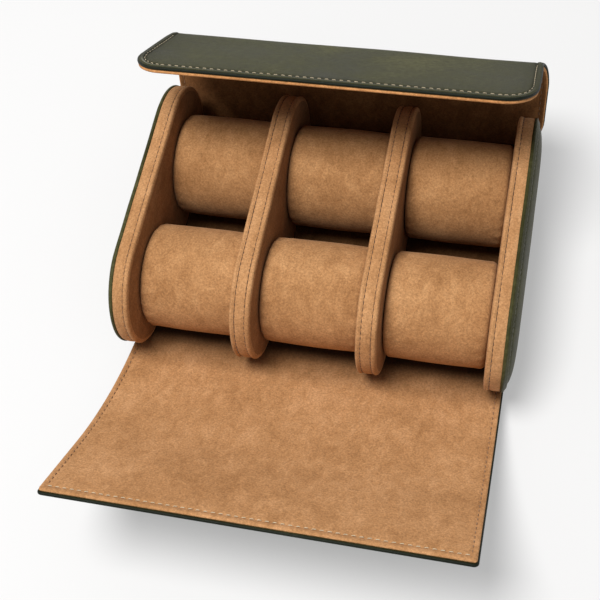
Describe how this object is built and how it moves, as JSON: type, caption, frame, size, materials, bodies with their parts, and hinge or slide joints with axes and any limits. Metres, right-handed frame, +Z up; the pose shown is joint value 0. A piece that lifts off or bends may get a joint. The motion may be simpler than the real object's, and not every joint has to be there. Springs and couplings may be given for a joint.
{
  "type": "watch travel case",
  "caption": "Wrap-around travel case with round-ended panels, dividers and removable suede pillows for watches, shown with both flaps open.",
  "frame": {"origin": "on the surface the case lies on, under the middle of the body", "axes": "+X across the case, +Y from the front flap to the top flap, +Z up"},
  "size_m": [0.194, 0.259, 0.1243],
  "materials": {
    "leather": "smooth, slight sheen",
    "suede": "napped suede",
    "suede_gusset": "napped suede strip",
    "suede_pillow": "napped microsuede",
    "board": "fibreboard",
    "foam": "foam",
    "magnet": "plated"
  },
  "bodies": {
    "body": {"back_leather": "leather", "back_board": "board", "back_lining": "suede", "left_panel_leather": "leather", "left_panel_core": "board", "left_panel_gusset": "suede_gusset", "left_panel_lining": "suede", "right_panel_leather": "leather", "right_panel_core": "board", "right_panel_gusset": "suede_gusset", "right_panel_lining": "suede", "left_divider_core": "board", "left_divider_gusset": "suede_gusset", "left_divider_left_face": "suede", "left_divider_right_face": "suede", "right_divider_core": "board", "right_divider_gusset": "suede_gusset", "right_divider_left_face": "suede", "right_divider_right_face": "suede"},
    "front_link_1": {"front_flap_leather_1": "leather", "front_flap_lining_1": "suede"},
    "front_link_2": {"front_flap_leather_2": "leather", "front_flap_lining_2": "suede"},
    "front_link_3": {"front_flap_leather_3": "leather", "front_flap_lining_3": "suede"},
    "front_link_4": {"front_flap_leather_4": "leather", "front_flap_lining_4": "suede"},
    "front_link_5": {"front_flap_leather_5": "leather", "front_flap_lining_5": "suede"},
    "front_link_6": {"front_flap_leather_6": "leather", "front_flap_lining_6": "suede", "front_flap_board": "board", "front_flap_magnets": "magnet"},
    "top_link_1": {"top_flap_leather_1": "leather", "top_flap_lining_1": "suede"},
    "top_link_2": {"top_flap_leather_2": "leather", "top_flap_lining_2": "suede"},
    "top_link_3": {"top_flap_leather_3": "leather", "top_flap_lining_3": "suede"},
    "top_link_4": {"top_flap_leather_4": "leather", "top_flap_lining_4": "suede", "top_flap_board": "board", "top_flap_magnets": "magnet"},
    "pillow_front_left": {"pillow_front_left_core": "foam", "pillow_front_left_cover": "suede_pillow"},
    "pillow_front_middle": {"pillow_front_middle_core": "foam", "pillow_front_middle_cover": "suede_pillow"},
    "pillow_front_right": {"pillow_front_right_core": "foam", "pillow_front_right_cover": "suede_pillow"},
    "pillow_back_left": {"pillow_back_left_core": "foam", "pillow_back_left_cover": "suede_pillow"},
    "pillow_back_middle": {"pillow_back_middle_core": "foam", "pillow_back_middle_cover": "suede_pillow"},
    "pillow_back_right": {"pillow_back_right_core": "foam", "pillow_back_right_cover": "suede_pillow"}
  },
  "joints": [
    {"name": "front_fold_1", "type": "hinge", "parent": "body", "child": "front_link_1", "pos_m": [0, -0.0598, 0.00769], "axis": [1, 0, 0], "range_deg": [-26.92, 20.2]},
    {"name": "front_fold_2", "type": "hinge", "parent": "front_link_1", "child": "front_link_2", "pos_m": [0, -0.07412, 0.01248], "axis": [1, 0, 0], "range_deg": [-22.42, 4.5]},
    {"name": "front_fold_3", "type": "hinge", "parent": "front_link_2", "child": "front_link_3", "pos_m": [0, -0.08883, 0.01873], "axis": [1, 0, 0], "range_deg": [-22.42, 4.5]},
    {"name": "front_fold_4", "type": "hinge", "parent": "front_link_3", "child": "front_link_4", "pos_m": [0, -0.10301, 0.02611], "axis": [1, 0, 0], "range_deg": [-22.42, 4.5]},
    {"name": "front_fold_5", "type": "hinge", "parent": "front_link_4", "child": "front_link_5", "pos_m": [0, -0.11657, 0.03458], "axis": [1, 0, 0], "range_deg": [-22.42, 4.5]},
    {"name": "front_fold_6", "type": "hinge", "parent": "front_link_5", "child": "front_link_6", "pos_m": [0, -0.12942, 0.04409], "axis": [1, 0, 0], "range_deg": [-22.42, 4.5]},
    {"name": "top_fold_1", "type": "hinge", "parent": "body", "child": "top_link_1", "pos_m": [0, 0.0744, 0.03078], "axis": [-1, 0, 0], "range_deg": [-19, 38]},
    {"name": "top_fold_2", "type": "hinge", "parent": "top_link_1", "child": "top_link_2", "pos_m": [0, 0.07863, 0.04305], "axis": [-1, 0, 0], "range_deg": [-19, 38]},
    {"name": "top_fold_3", "type": "hinge", "parent": "top_link_2", "child": "top_link_3", "pos_m": [0, 0.08565, 0.06756], "axis": [-1, 0, 0], "range_deg": [0, 34]},
    {"name": "top_fold_4", "type": "hinge", "parent": "top_link_3", "child": "top_link_4", "pos_m": [0, 0.08245, 0.07743], "axis": [-1, 0, 0], "range_deg": [0, 34]},
    {"name": "pillow_front_left_lift", "type": "slide", "parent": "body", "child": "pillow_front_left", "axis": [0, 0, 1], "range_m": [0, 0.05]},
    {"name": "pillow_front_middle_lift", "type": "slide", "parent": "body", "child": "pillow_front_middle", "axis": [0, 0, 1], "range_m": [0, 0.05]},
    {"name": "pillow_front_right_lift", "type": "slide", "parent": "body", "child": "pillow_front_right", "axis": [0, 0, 1], "range_m": [0, 0.05]},
    {"name": "pillow_back_left_lift", "type": "slide", "parent": "body", "child": "pillow_back_left", "axis": [0, 0, 1], "range_m": [0, 0.05]},
    {"name": "pillow_back_middle_lift", "type": "slide", "parent": "body", "child": "pillow_back_middle", "axis": [0, 0, 1], "range_m": [0, 0.05]},
    {"name": "pillow_back_right_lift", "type": "slide", "parent": "body", "child": "pillow_back_right", "axis": [0, 0, 1], "range_m": [0, 0.05]}
  ],
  "couplings": [
    {"joint": "front_fold_3", "follows": "front_fold_2", "ratio": 1},
    {"joint": "front_fold_4", "follows": "front_fold_2", "ratio": 1},
    {"joint": "front_fold_5", "follows": "front_fold_2", "ratio": 1},
    {"joint": "front_fold_6", "follows": "front_fold_2", "ratio": 1},
    {"joint": "top_fold_2", "follows": "top_fold_1", "ratio": 1},
    {"joint": "top_fold_4", "follows": "top_fold_3", "ratio": 1}
  ]
}
